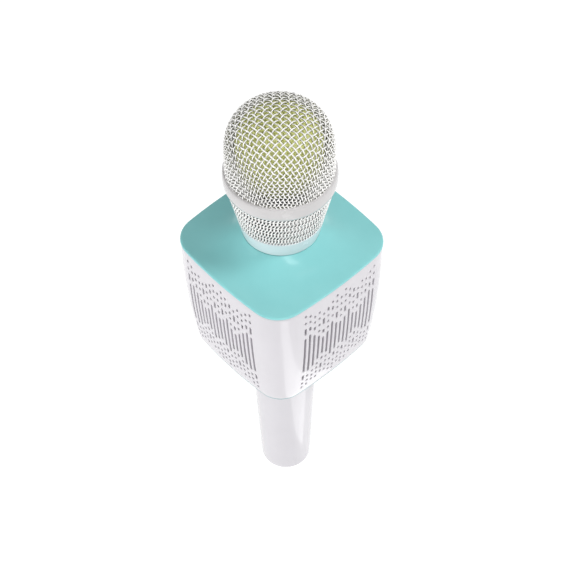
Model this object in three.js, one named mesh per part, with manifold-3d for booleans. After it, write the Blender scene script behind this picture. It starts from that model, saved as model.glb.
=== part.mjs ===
// Wireless karaoke microphone for children: a ball head on a square speaker body on a tapered handle.
// Millimetres, +Z up. The origin is the centre of the handle's flat end, which the microphone stands on.
// The control side faces -Y. The four speaker faces look along +X, +Y, -X and -Y.

import * as THREE from 'three';
import { mergeVertices } from 'three/addons/utils/BufferGeometryUtils.js';
import Module from 'manifold-3d';

const wasm = await Module();
wasm.setup();

// ---------------------------------------------------------------- driving dimensions

const GAP = 0.3;                 // clearance between neighbouring pieces

// Speaker body: a square with bowed sides and round corners, barrel-shaped from the side.
const RIM_Z = 184.9;             // upper edge of the top plate
const RIM_HALF = 40;             // half width at the rim, in the middle of a side
const SIDE_RADIUS = 278;         // bow of each side, seen from above
const CORNER_RADIUS = 14.9;
const BASE_Z = 111.5;            // lower face of the bottom plate
const BARREL_TAPER = 4.2;        // how much narrower each side is at the bottom than at the rim
const BARREL_POWER = 2.4;        // the taper gathers towards the bottom
const SHELL_HALF = 39.8;
const SHELL_WALL = 2;
const SHELL_BENDS = [123, 139, 160];  // heights between the shell's edges where its barrel side bends
const CLOTH_BENDS = [119, 130, 146, 178.8];
const CLOTH_THICKNESS = 0.6;

// Top plate: its rim covers the shell's upper edge, and a skirt goes down inside the shell.
const RIM_THICKNESS = 1.5;
const RIM_CHAMFER = 0.4;
const TOP_THICKNESS = 2;
const SKIRT_OUTER = 37.2;
const SKIRT_INNER = 35.6;
const SKIRT_DEPTH = 5.4;

// Bottom plate: a thin edge set back under the shell, a raised middle and a spigot down into the handle.
const BASE_EDGE = 0.8;
const BASE_SETBACK = 0.3;
const BASE_RAISED_HALF = 33;
const BASE_RAISED_Z = BASE_Z + 4;
const SPIGOT_OUTER = 15.3;
const SPIGOT_BORE = 13.4;
const SPIGOT_Z = BASE_Z - 8.5;
const SHELL_LOW = BASE_Z + BASE_EDGE + GAP;
const SHELL_HIGH = RIM_Z - RIM_THICKNESS - GAP;

// Slots in the speaker faces, as depths below the rim. Column 0 is the outermost, the last is the middle.
const SLOT_PITCH = 2.81;
const SLOT_WIDTH = 1.2;
const PATTERN_SHIFT = -2.2;      // the slot columns sit a little off the middle of each face
const LONG_SLOTS = [[24.8, 53.5], [23.5, 54.8], [26.3, 53.2], [29.5, 49.5], [32.6, 47], [30.7, 48.5],
  [25.1, 52.9], [28.5, 50.7], [30.1, 48.2]];

// Neck and head, as radii and heights.
const NECK_Z = 193.9;            // the top plate's sweep ends here
const NECK_RADIUS = 19;
const NECK_BORE = 16.3;
const RING_TOP = { r: 20.8, z: 203.7 };
const BAND_BOTTOM = { r: 26.2, z: 226.7 };
const BAND_TOP_Z = 234.8;
const DOME_RADIUS = 25.7;
const DOME_STRAIGHT = 9.6;
const DOME_CAP = 26.3;
const DOME_POWER = 2.5;          // superellipse of the dome's cap
const MESH_THICKNESS = 0.8;

// Foam liner and microphone capsule.
const FOAM_RADIUS = 20.5;
const FOAM_BOTTOM = 235;
const FOAM_TOP = 268.6;
const FOAM_BORE = 12.2;
const CAPSULE_RADIUS = 7;
const CAPSULE_BOTTOM = 236;
const CAPSULE_TOP = 245;
const COLLAR_TOP = 201;

// Handle and the flat control panel in its front.
const HANDLE_TOP = BASE_Z - GAP;
const HANDLE_RADIUS_TOP = 17.8;
const HANDLE_RADIUS_END = 13.4;
const HANDLE_WALL = 1.8;
const END_FILLET = 3;
const END_OPENING = 10.2;
const END_LIP = 2.4;             // thickness of the handle's end round the cap
const CHARGING_Y = 4;
const LINE_IN_Y = -4.5;
const FLAT_DEPTH = 2.6;          // how far the control flat is cut into the round handle
const PANEL_MIDDLE_Z = 62;
const PANEL_WIDTH = 13.4;
const PANEL_LENGTH = 71.4;
const PANEL_THICKNESS = 1.6;
const PANEL_CORNER = 3;
const SLIDER_SPACING = 4.2;
const SLIDER_TRAVEL = 8;         // each way from the middle
const SLIDER_HEIGHT = 19;        // middle of the sliders, along the panel from its centre
const BOARD_DEPTH = 5.2;         // front of the control board, below the panel's face
const BOARD_THICKNESS = 1.2;
const KEY_CLEARANCE = 0.25;
const KEY_RISE = 1.1;            // how far a key stands out of the panel
const KEY_FLANGE = 0.7;
const SWITCH_HALF = 2.2;
const BUTTONS = [
  { name: 'play', along: 2.5, across: 0, radius: 3 },
  { name: 'previous', along: -5, across: -3.2, radius: 2.3 },
  { name: 'next', along: -5, across: 3.2, radius: 2.3 },
  { name: 'mode', along: -12.5, across: 0, radius: 2.6 },
  { name: 'power', along: -25, across: 0, radius: 3.3 },
];

// Battery.
const BATTERY_RADIUS = 7.1;
const BATTERY_Y = 3;
const BATTERY_BOTTOM = 37;
const BATTERY_LENGTH = 50;

// Speaker box, amplifier board and the screws that hold the body together.
const BOX_HALF = 30;
const BOX_CORNER = 10;
const BOX_INNER_CORNER = 20;     // leaves thick corners for the screws
const BOX_WALL = 2.4;
const BOX_BOTTOM = BASE_RAISED_Z + GAP;
const BOX_TOP = 182.6;
const SPEAKER_Z = 152;
const SPEAKER_HOLE = 20.6;
const SCREW_OFFSET = 24.4;       // chassis screws, along X and along Y
const SCREW_HEAD = 2.6;
const SCREW_SHANK = 1.25;
const POST_HEIGHT = 2;
const AMPLIFIER_Z = BASE_RAISED_Z + POST_HEIGHT + GAP;
const AMPLIFIER_THICKNESS = 1.6;

const WHITE = { color: 0xe9e6ea, roughness: 0.35, metalness: 0 };
const TEAL = { color: 0x7fd4d2, roughness: 0.3, metalness: 0 };
const MESH = { color: 0xe8e6dd, roughness: 0.4, metalness: 0.3 };
const FOAM = { color: 0xc8cf7a, roughness: 1, metalness: 0 };
const DARK = { color: 0x2a2b2d, roughness: 0.7, metalness: 0 };
const STEEL = { color: 0xb9bcc0, roughness: 0.3, metalness: 1 };
const RUBBER = { color: 0x1d1d1f, roughness: 0.9, metalness: 0 };
const BOARD = { color: 0x1f6b46, roughness: 0.6, metalness: 0 };
const CLOTH = { color: 0x9a999f, roughness: 1, metalness: 0 };
const CELL = { color: 0x2f6fb0, roughness: 0.5, metalness: 0 };

// ---------------------------------------------------------------- geometry helpers

/** Signed volume of an indexed geometry; positive when its faces point out. */
function signedVolume(geometry) {
  const p = geometry.attributes.position;
  const index = geometry.index;
  const [a, b, c] = [new THREE.Vector3(), new THREE.Vector3(), new THREE.Vector3()];
  let volume = 0;
  for (let i = 0; i < index.count; i += 3) {
    a.fromBufferAttribute(p, index.getX(i));
    b.fromBufferAttribute(p, index.getX(i + 1));
    c.fromBufferAttribute(p, index.getX(i + 2));
    volume += a.dot(b.cross(c)) / 6;
  }
  return volume;
}

/** Merges shared corners, drops empty triangles and turns every face outwards. */
function closed(geometry) {
  const bare = new THREE.BufferGeometry();
  bare.setAttribute('position', geometry.attributes.position.clone());
  bare.setIndex(geometry.index ? geometry.index.clone() : null);
  const merged = mergeVertices(bare, 1e-4);
  const kept = [];
  for (let i = 0; i < merged.index.count; i += 3) {
    const [a, b, c] = [0, 1, 2].map((k) => merged.index.getX(i + k));
    if (a !== b && b !== c && c !== a) kept.push([a, b, c]);
  }
  merged.setIndex(kept.flat());
  if (signedVolume(merged) < 0) merged.setIndex(kept.map(([a, b, c]) => [a, c, b]).flat());
  return merged;
}

function toSolid(geometry) {
  const whole = closed(geometry);
  return new wasm.Manifold(new wasm.Mesh({
    numProp: 3,
    vertProperties: Float32Array.from(whole.attributes.position.array),
    triVerts: Uint32Array.from(whole.index.array),
  }));
}

function fromSolid(solid) {
  const mesh = solid.getMesh();
  const geometry = new THREE.BufferGeometry();
  geometry.setAttribute('position', new THREE.BufferAttribute(Float32Array.from(mesh.vertProperties), 3));
  geometry.setIndex(Array.from(mesh.triVerts));
  return geometry;
}

/** The base with every tool cut away from it. */
function cut(base, ...tools) {
  return fromSolid(tools.reduce((solid, tool) => solid.subtract(toSolid(tool)), toSolid(base)));
}

/** The pieces joined into one body. */
function join(first, ...others) {
  return fromSolid(others.reduce((solid, other) => solid.add(toSolid(other)), toSolid(first)));
}

/** A ring or disc turned about the Z axis from [radius, height] points that go round its section. */
function turned(section, segments = 20) {
  const points = section.map(([r, z]) => new THREE.Vector2(r, z));
  const onAxis = section[0][0] === 0 && section.at(-1)[0] === 0;
  if (!onAxis) points.push(points[0].clone());
  return closed(new THREE.LatheGeometry(points, segments).rotateX(Math.PI / 2));
}

/** A plain disc or pin between two heights. */
function disc(radius, bottom, top, segments = 20) {
  return turned([[0, bottom], [radius, bottom], [radius, top], [0, top]], segments);
}

/** A plain ring between two heights. */
function ring(inner, outer, bottom, top, segments = 20) {
  return turned([[inner, bottom], [outer, bottom], [outer, top], [inner, top]], segments);
}

/** A box from its lowest to its highest corner. */
function block([x0, y0, z0], [x1, y1, z1]) {
  return new THREE.BoxGeometry(x1 - x0, y1 - y0, z1 - z0)
    .translate((x0 + x1) / 2, (y0 + y1) / 2, (z0 + z1) / 2);
}

/** A plate with round corners in the XY plane, between two heights. */
function roundedPlate(width, length, radius, bottom, top) {
  const [w, l] = [width / 2, length / 2];
  const shape = new THREE.Shape();
  shape.absarc(w - radius, l - radius, radius, 0, Math.PI / 2);
  shape.absarc(-w + radius, l - radius, radius, Math.PI / 2, Math.PI);
  shape.absarc(-w + radius, -l + radius, radius, Math.PI, Math.PI * 1.5);
  shape.absarc(w - radius, -l + radius, radius, Math.PI * 1.5, Math.PI * 2);
  return new THREE.ExtrudeGeometry(shape, { depth: top - bottom, bevelEnabled: false, curveSegments: 3 })
    .translate(0, 0, bottom);
}

/** A closed skin through rings of equal length; the last ring joins the first, round a through hole. */
function loft(rings) {
  const n = rings[0].length;
  const index = [];
  rings.forEach((_, k) => {
    const here = k * n;
    const next = ((k + 1) % rings.length) * n;
    for (let i = 0; i < n; i++) {
      const j = (i + 1) % n;
      index.push(here + i, here + j, next + j, here + i, next + j, next + i);
    }
  });
  const geometry = new THREE.BufferGeometry();
  geometry.setAttribute('position', new THREE.Float32BufferAttribute(rings.flat(2), 3));
  geometry.setIndex(index);
  return closed(geometry);
}

// ---------------------------------------------------------------- the body's square outline

const SIDE_STEPS = 4;
const CORNER_STEPS = 4;
const SIDE_CENTRE = RIM_HALF - SIDE_RADIUS;
const CORNER_CENTRE = (SIDE_CENTRE
  + Math.sqrt(2 * (SIDE_RADIUS - CORNER_RADIUS) ** 2 - SIDE_CENTRE ** 2)) / 2;
const SIDE_TURN = Math.atan2(CORNER_CENTRE, CORNER_CENTRE - SIDE_CENTRE);

/** The bowed square at height z; inset moves it inwards by the same distance all round. */
function outline(half, z, inset = 0) {
  const k = half / RIM_HALF;
  const side = SIDE_RADIUS * k - inset;
  const corner = CORNER_RADIUS * k - inset;
  const quarter = [];
  for (let i = 0; i < SIDE_STEPS; i++) {
    const a = SIDE_TURN * (2 * i / SIDE_STEPS - 1);
    quarter.push([SIDE_CENTRE * k + side * Math.cos(a), side * Math.sin(a)]);
  }
  for (let i = 0; i < CORNER_STEPS; i++) {
    const a = SIDE_TURN + (Math.PI / 2 - 2 * SIDE_TURN) * i / CORNER_STEPS;
    quarter.push([CORNER_CENTRE * k + corner * Math.cos(a), CORNER_CENTRE * k + corner * Math.sin(a)]);
  }
  const second = quarter.map(([x, y]) => [-y, x]);
  const firstHalf = [...quarter, ...second];
  return [...firstHalf, ...firstHalf.map(([x, y]) => [-x, -y])].map(([x, y]) => [x, y, z]);
}

/** A circle with its points in the same directions as the outline's, so the two can be lofted. */
function roundLikeOutline(radius, z) {
  return outline(RIM_HALF, z).map(([x, y]) => {
    const k = radius / Math.hypot(x, y);
    return [x * k, y * k, z];
  });
}

/** Part of the way from one ring to another of equal length, at height z. */
function between(from, to, t, z) {
  return from.map(([x, y], i) => [x + (to[i][0] - x) * t, y + (to[i][1] - y) * t, z]);
}

/** Half width of the white shell at height z. */
function shellHalf(z) {
  return SHELL_HALF - BARREL_TAPER * ((RIM_Z - z) / (RIM_Z - BASE_Z)) ** BARREL_POWER;
}

/** Rings of the shell at the given heights, moved inwards by inset. */
function shellRings(heights, inset) {
  return heights.map((z) => outline(shellHalf(z), z, inset));
}

// ---------------------------------------------------------------- assembly helpers

const microphone = new THREE.Group();

function piece(name, geometry, look, parent = microphone) {
  const mesh = new THREE.Mesh(closed(geometry), new THREE.MeshStandardMaterial(look));
  mesh.name = name;
  parent.add(mesh);
  return mesh;
}

// ---------------------------------------------------------------- speaker body

function bodyShell() {
  const heights = [SHELL_LOW, ...SHELL_BENDS, SHELL_HIGH];
  const sleeve = loft([...shellRings(heights, 0), ...shellRings(heights.toReversed(), SHELL_WALL)]);
  const last = 2 * (LONG_SLOTS.length - 1);
  const [near, far] = [BOX_HALF, RIM_HALF + 5];
  const cutters = [];
  for (let column = 0; column <= last; column++) {
    const [from, to] = LONG_SLOTS[Math.min(column, last - column)];
    const across = PATTERN_SHIFT + (column - last / 2) * SLOT_PITCH;
    const [low, high] = [across - SLOT_WIDTH / 2, across + SLOT_WIDTH / 2];
    for (const [start, end] of [[near, far], [-far, -near]]) {
      cutters.push(block([start, low, RIM_Z - to], [end, high, RIM_Z - from]));
      cutters.push(block([low, start, RIM_Z - to], [high, end, RIM_Z - from]));
    }
  }
  return cut(sleeve, ...cutters);
}

function dustCloth() {
  const inset = SHELL_WALL + GAP;
  return loft([
    ...shellRings(CLOTH_BENDS, inset),
    ...shellRings(CLOTH_BENDS.toReversed(), inset + CLOTH_THICKNESS),
  ]);
}

function topPlate() {
  const rim = outline(RIM_HALF - RIM_CHAMFER, RIM_Z);
  const neck = roundLikeOutline(NECK_RADIUS, NECK_Z);
  const sweep = [0, 0.25, 0.5, 0.7, 0.85, 0.95, 1].map((t) => {
    const rise = (NECK_Z - RIM_Z) * t ** 3;
    return between(rim, neck, t, RIM_Z + rise);
  });
  const skirtBottom = RIM_Z - SKIRT_DEPTH;
  const underside = RIM_Z - TOP_THICKNESS;
  const rimBottom = RIM_Z - RIM_THICKNESS;
  return loft([
    outline(SKIRT_OUTER, skirtBottom),
    outline(SKIRT_OUTER, rimBottom),
    outline(RIM_HALF - RIM_CHAMFER, rimBottom),
    outline(RIM_HALF, rimBottom + RIM_CHAMFER),
    outline(RIM_HALF, RIM_Z - RIM_CHAMFER),
    ...sweep,
    roundLikeOutline(NECK_BORE, NECK_Z),
    roundLikeOutline(NECK_BORE, underside),
    outline(SKIRT_INNER, underside),
    outline(SKIRT_INNER, skirtBottom),
  ]);
}

function bottomPlate() {
  const edgeTop = BASE_Z + BASE_EDGE;
  const edgeHalf = shellHalf(edgeTop) - BASE_SETBACK;
  const plate = loft([
    roundLikeOutline(SPIGOT_OUTER, SPIGOT_Z),
    roundLikeOutline(SPIGOT_OUTER, BASE_Z),
    outline(edgeHalf, BASE_Z),
    outline(edgeHalf, edgeTop),
    outline(BASE_RAISED_HALF, edgeTop),
    outline(BASE_RAISED_HALF, BASE_RAISED_Z),
    roundLikeOutline(SPIGOT_BORE, BASE_RAISED_Z),
    roundLikeOutline(SPIGOT_BORE, SPIGOT_Z),
  ]);
  const holes = screwPlaces().flatMap(([x, y]) => [
    disc(SCREW_SHANK + 0.35, BASE_Z - 1, BASE_RAISED_Z + 1, 12).translate(x, y, 0),
    disc(SCREW_HEAD + 0.4, BASE_Z - 1, BASE_Z + 2, 12).translate(x, y, 0),
  ]);
  const posts = [[-18, -15], [18, -15], [-18, 15], [18, 15]]
    .map(([x, y]) => disc(2.5, BASE_RAISED_Z - 1, BASE_RAISED_Z + POST_HEIGHT, 8).translate(x, y, 0));
  return join(cut(plate, ...holes), ...posts);
}

function screwPlaces() {
  const s = SCREW_OFFSET;
  return [[s, s], [-s, s], [-s, -s], [s, -s]];
}

/** Chassis screw, head down, through the bottom plate into the speaker box. */
function chassisScrew(x, y) {
  const head = BASE_Z + 0.4;
  const shoulder = head + 1.3;
  return turned([
    [0, head],
    [SCREW_HEAD, head],
    [SCREW_HEAD, shoulder],
    [SCREW_SHANK, shoulder],
    [SCREW_SHANK, head + 13],
    [0, head + 14],
  ], 10).translate(x, y, 0);
}

/** A square with flat sides and round corners at height z. */
function plainSquare(half, corner, z) {
  const steps = 4;
  const offset = half - corner;
  const points = [];
  [[1, 1], [-1, 1], [-1, -1], [1, -1]].forEach(([x, y], quarter) => {
    for (let i = 0; i <= steps; i++) {
      const a = (quarter + i / steps) * Math.PI / 2;
      points.push([x * offset + corner * Math.cos(a), y * offset + corner * Math.sin(a), z]);
    }
  });
  return points;
}

function speakerBox() {
  const outer = [BOX_HALF, BOX_CORNER];
  const inner = [BOX_HALF - BOX_WALL, BOX_INNER_CORNER];
  const box = loft([
    plainSquare(...outer, BOX_BOTTOM),
    plainSquare(...outer, BOX_TOP),
    plainSquare(...inner, BOX_TOP),
    plainSquare(...inner, BOX_BOTTOM),
  ]);
  const openings = [0, 1, 2, 3].map((side) => disc(SPEAKER_HOLE, BOX_HALF - 13, BOX_HALF + 10)
    .rotateY(Math.PI / 2)
    .rotateZ(side * Math.PI / 2)
    .translate(0, 0, SPEAKER_Z));
  const screwHoles = screwPlaces()
    .map(([x, y]) => disc(SCREW_SHANK + GAP, BOX_BOTTOM - 1, BOX_BOTTOM + 14, 12).translate(x, y, 0));
  return cut(box, ...openings, ...screwHoles);
}

/** Turns a piece made along +Z from the box's face to look out of the side at the given turn from -Y. */
function facing(geometry, side) {
  return geometry.translate(0, 0, BOX_HALF).rotateX(Math.PI / 2).rotateZ(side).translate(0, 0, SPEAKER_Z);
}

// Sections of the drivers and radiators, as [radius, distance outwards from the box's face].
const DRIVER_SECTIONS = {
  basket: [[8, -10.6], [13.4, -10.6], [20.2, -2.4], [20.2, 0.3], [24, 0.3], [24, 1.6], [18.4, 1.6],
    [18.4, -2.6], [12.6, -9.4], [8, -9.4]],
  magnet: [[0, -19], [13, -19], [13, -10.9], [6.8, -10.9], [6.8, -17], [5, -17], [5, -10.9], [0, -10.9]],
  surround: [[17.7, 1.9], [23, 1.9], [23, 2.5], [20.9, 2.6], [19.8, 3.3], [18.7, 3.3], [17.7, 2.7]],
  cone: [[0, -2.4], [3, -3], [5.6, -5.6], [5.6, -15], [6.2, -15], [6.2, -6.4], [17.3, 1], [17.3, 1.9],
    [16.6, 1.9], [6.6, -4.8], [3.4, -2.1], [0, -1.6]],
};
const RADIATOR_SECTIONS = {
  surround: [[14, 0.3], [23, 0.3], [23, 1.6], [20.8, 1.8], [19.4, 2.9], [17.4, 2.9], [16, 1.8], [14, 1.6]],
  weight: [[0, -0.6], [13.7, -0.6], [13.7, 1.9], [11, 2.3], [0, 2.3]],
};

function speakers() {
  for (const [where, side] of [['front', 0], ['back', Math.PI]]) {
    const make = (part) => facing(turned(DRIVER_SECTIONS[part], 16), side);
    piece(`${where}_driver_basket`, make('basket'), STEEL);
    piece(`${where}_driver_magnet`, make('magnet'), DARK);
    piece(`${where}_driver_surround`, make('surround'), RUBBER);
    piece(`${where}_driver_cone`, make('cone'), DARK);
  }
  for (const [where, side] of [['right', Math.PI / 2], ['left', -Math.PI / 2]]) {
    const make = (part) => facing(turned(RADIATOR_SECTIONS[part], 16), side);
    piece(`${where}_radiator_surround`, make('surround'), RUBBER);
    piece(`${where}_radiator_weight`, make('weight'), STEEL);
  }
}

function speakerBody() {
  piece('body_shell', bodyShell(), WHITE);
  piece('dust_cloth', dustCloth(), CLOTH);
  piece('top_plate', topPlate(), TEAL);
  piece('bottom_plate', bottomPlate(), TEAL);
  piece('speaker_box', speakerBox(), DARK);
  screwPlaces().forEach(([x, y], i) => piece(`chassis_screw_${i + 1}`, chassisScrew(x, y), STEEL));
  speakers();
  const amplifierTop = AMPLIFIER_Z + AMPLIFIER_THICKNESS;
  piece('amplifier_board', block([-22, -19, AMPLIFIER_Z], [22, 19, amplifierTop]), BOARD);
}

// ---------------------------------------------------------------- head

/** Dome section from its lower edge to the crown, moved inwards by inset. */
function domeSection(radius, bottom, straight, cap, steps) {
  const points = [[radius, bottom]];
  for (let i = 0; i <= steps; i++) {
    const a = i / steps * Math.PI / 2;
    const r = i === steps ? 0 : radius * Math.cos(a) ** (2 / DOME_POWER);
    points.push([r, bottom + straight + cap * Math.sin(a) ** (2 / DOME_POWER)]);
  }
  return points;
}

function domeMesh() {
  const bottom = BAND_TOP_Z + GAP;
  const straight = DOME_STRAIGHT - GAP;
  const innerRadius = DOME_RADIUS - MESH_THICKNESS;
  const outer = domeSection(DOME_RADIUS, bottom, straight, DOME_CAP, 8);
  const inner = domeSection(innerRadius, bottom - 1, straight + 1, DOME_CAP - MESH_THICKNESS, 6);
  return cut(turned([[0, bottom], ...outer], 28), turned([[0, bottom - 1], ...inner], 20));
}

function headBand() {
  const [low, high] = [BAND_BOTTOM.z, BAND_TOP_Z];
  const r = BAND_BOTTOM.r;
  const middle = (low + high) / 2;
  return turned([
    [r - 2.4, low],
    [r - 0.3, low],
    [r + 0.35, low + 1.4],
    [r + 0.6, middle],
    [r + 0.35, high - 1.4],
    [r - 0.5, high],
    [r - 2.4, high],
  ], 28);
}

function coneMesh() {
  const [low, high] = [RING_TOP.z + GAP, BAND_BOTTOM.z - GAP];
  const upper = BAND_BOTTOM.r - 0.4;
  return turned([
    [RING_TOP.r - MESH_THICKNESS, low],
    [RING_TOP.r, low],
    [upper, high],
    [upper - MESH_THICKNESS, high],
  ], 28);
}

function neckRing() {
  const low = NECK_Z + GAP;
  const high = RING_TOP.z;
  const bore = NECK_BORE + 0.1;
  return turned([
    [bore, low],
    [NECK_RADIUS - 0.2, low],
    [NECK_RADIUS + 0.2, low + 0.5],
    [RING_TOP.r - 0.5, high - 2.5],
    [RING_TOP.r, high - 0.4],
    [RING_TOP.r - 0.3, high],
    [bore, high],
  ], 28);
}

function foamLiner() {
  const straight = 10;
  const boreTop = 251;
  const chamfer = 3;
  const low = FOAM_BOTTOM + 1;
  const outer = domeSection(FOAM_RADIUS, low, straight, FOAM_TOP - low - straight, 6);
  return turned([
    [0, boreTop],
    [FOAM_BORE - chamfer, boreTop],
    [FOAM_BORE, boreTop - chamfer],
    [FOAM_BORE, FOAM_BOTTOM],
    [FOAM_RADIUS - 1.2, FOAM_BOTTOM],
    ...outer,
  ]);
}

function head() {
  const ball = new THREE.Group();
  piece('dome_mesh', domeMesh(), MESH, ball);
  piece('head_band', headBand(), WHITE, ball);
  piece('cone_mesh', coneMesh(), MESH, ball);
  piece('neck_ring', neckRing(), WHITE, ball);
  piece('foam_windscreen', foamLiner(), FOAM, ball);
  microphone.add(ball);
}

// ---------------------------------------------------------------- neck and capsule

const LEAD_RADIUS = 0.8;
const LEAD_END = AMPLIFIER_Z + AMPLIFIER_THICKNESS + 0.5;

// Route of the two-core lead from the capsule to the amplifier board.
const LEAD_ROUTE = [[0, 0, 235.4], [0.3, 0, 225], [0.5, 0, 205], [1.5, 0, 186], [7, 0, 168], [12, 0, 148],
  [12.5, 0, 132], [12, 0, LEAD_END]];

function capsuleLead() {
  const points = LEAD_ROUTE.map((point) => new THREE.Vector3(...point));
  const route = new THREE.CatmullRomCurve3(points, false, 'centripetal');
  const section = new THREE.Shape().absarc(0, 0, LEAD_RADIUS, 0, Math.PI * 2);
  return new THREE.ExtrudeGeometry(section, {
    steps: 16,
    extrudePath: route,
    curveSegments: 3,
    bevelEnabled: false,
  });
}

/** Steel collar that stands up through the top plate; the head screws onto it. */
function neckCollar() {
  const bore = 13.2;
  const outer = NECK_BORE - GAP;
  const flange = 19.5;
  const flangeTop = RIM_Z - TOP_THICKNESS - 0.4;
  const flangeBottom = flangeTop - 2.9;
  return turned([
    [bore, flangeBottom],
    [flange, flangeBottom],
    [flange, flangeTop],
    [outer, flangeTop],
    [outer, COLLAR_TOP],
    [bore, COLLAR_TOP],
  ]);
}

/** Plug in the collar with a post that carries the capsule in a cup, bored for the lead. */
function capsuleHolder() {
  const leadBore = 1.8;
  const plug = 12.9;
  const flange = NECK_BORE - 0.7;
  const cup = 11.2;
  return turned([
    [leadBore, 197],
    [plug, 197],
    [plug, COLLAR_TOP + GAP],
    [flange, COLLAR_TOP + GAP],
    [flange, 203],
    [8, 204.5],
    [8, 229],
    [cup, 232.5],
    [cup, 241],
    [9.9, 241],
    [9.9, 234.2],
    [leadBore, 234.2],
  ], 16);
}

function micCapsule() {
  const chamfer = 0.6;
  return turned([
    [0, CAPSULE_BOTTOM],
    [CAPSULE_RADIUS, CAPSULE_BOTTOM],
    [CAPSULE_RADIUS, CAPSULE_TOP - chamfer],
    [CAPSULE_RADIUS - chamfer, CAPSULE_TOP],
    [0, CAPSULE_TOP],
  ], 16);
}

function neckAndCapsule() {
  piece('neck_collar', neckCollar(), STEEL);
  piece('capsule_holder', capsuleHolder(), DARK);
  piece('capsule_cushion', ring(CAPSULE_RADIUS + GAP, 9.6, 234.8, 242.5, 16), RUBBER);
  piece('mic_capsule', micCapsule(), STEEL);
  piece('capsule_lead', capsuleLead(), RUBBER);
}

// ---------------------------------------------------------------- handle

/** Outer radius of the handle at height z. */
function handleRadius(z) {
  return HANDLE_RADIUS_END + (HANDLE_RADIUS_TOP - HANDLE_RADIUS_END) * z / HANDLE_TOP;
}

const HANDLE_SLOPE = Math.atan((HANDLE_RADIUS_TOP - HANDLE_RADIUS_END) / HANDLE_TOP);

/** Frame of the control flat: X across, Y up along the handle, Z straight out of the panel. */
function controlFrame() {
  const frame = new THREE.Group();
  frame.rotation.x = Math.PI / 2 + HANDLE_SLOPE;
  frame.position.set(0, -(handleRadius(PANEL_MIDDLE_Z) - FLAT_DEPTH), PANEL_MIDDLE_Z);
  frame.updateMatrix();
  return frame;
}

function handleTube(frame) {
  const corner = [0, 1, 2, 3].map((i) => {
    const a = (i / 3) * Math.PI / 2;
    return [handleRadius(0) - END_FILLET * (1 - Math.sin(a)), END_FILLET * (1 - Math.cos(a))];
  });
  const tube = turned([
    [END_OPENING, 0],
    ...corner,
    [HANDLE_RADIUS_TOP, HANDLE_TOP],
    [HANDLE_RADIUS_TOP - HANDLE_WALL, HANDLE_TOP],
    [handleRadius(END_LIP) - HANDLE_WALL, END_LIP],
    [END_OPENING, END_LIP],
  ], 28);
  const reach = PANEL_LENGTH / 2 + 2.5;
  const flat = block([-20, -reach, 0], [20, reach, 12]);
  const opening = roundedPlate(PANEL_WIDTH + 2 * GAP, PANEL_LENGTH + 2 * GAP, PANEL_CORNER + GAP, -6, 6);
  return cut(tube, flat.applyMatrix4(frame.matrix), opening.applyMatrix4(frame.matrix));
}

function controlPanel() {
  const [low, high] = [-2 * PANEL_THICKNESS, PANEL_THICKNESS];
  const plate = roundedPlate(PANEL_WIDTH, PANEL_LENGTH, PANEL_CORNER, -PANEL_THICKNESS, 0);
  const slotLength = 2 * SLIDER_TRAVEL + 3.4;
  const slots = sliderPlaces()
    .map(([x, y]) => roundedPlate(1.8, slotLength, 0.85, low, high).translate(x, y, 0));
  const holes = BUTTONS.map(({ along, across, radius }) => {
    const hole = disc(radius + KEY_CLEARANCE, low, high, 16);
    return hole.translate(across, along, 0);
  });
  return cut(plate, ...slots, ...holes);
}

function sliderPlaces() {
  return [-1, 0, 1].map((i) => [i * SLIDER_SPACING, SLIDER_HEIGHT]);
}

function button({ along, across, radius }) {
  const flangeTop = -PANEL_THICKNESS - GAP;
  const flangeBottom = flangeTop - KEY_FLANGE;
  return turned([
    [0, flangeBottom],
    [radius + 0.6, flangeBottom],
    [radius + 0.6, flangeTop],
    [radius, flangeTop],
    [radius, KEY_RISE - 0.4],
    [radius - 0.4, KEY_RISE - 0.1],
    [0, KEY_RISE],
  ], 12).translate(across, along, 0);
}

function tactSwitch({ along, across }) {
  const bottom = -BOARD_DEPTH + GAP;
  const body = block([-SWITCH_HALF, -SWITCH_HALF, bottom], [SWITCH_HALF, SWITCH_HALF, bottom + 1]);
  const plunger = disc(1, bottom + 0.4, bottom + 1.6, 8);
  return join(body, plunger).translate(across, along, 0);
}

function sliderKnob([x, y]) {
  const cap = roundedPlate(3.5, 4.6, 0.9, GAP, 1.8);
  const stem = block([-0.6, -1.2, -2.3], [0.6, 1.2, 1]);
  return join(cap, stem).translate(x, y, 0);
}

function sliderTrack([x, y]) {
  const half = SLIDER_TRAVEL + 3;
  return block([-1.8, -half, -BOARD_DEPTH + GAP], [1.8, half, -2.6]).translate(x, y, 0);
}

function controls(frame) {
  piece('control_panel', controlPanel(), TEAL, frame);
  const boardBack = -BOARD_DEPTH - BOARD_THICKNESS;
  piece('control_board', roundedPlate(13, 70, 1, boardBack, -BOARD_DEPTH), BOARD, frame);
  for (const spec of BUTTONS) {
    piece(`${spec.name}_button`, button(spec), WHITE, frame);
    piece(`${spec.name}_switch`, tactSwitch(spec), DARK, frame);
  }
  ['mic_volume', 'echo', 'music_volume'].forEach((name, i) => {
    piece(`${name}_knob`, sliderKnob(sliderPlaces()[i]), WHITE, frame);
    piece(`${name}_track`, sliderTrack(sliderPlaces()[i]), STEEL, frame);
  });
}

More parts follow.
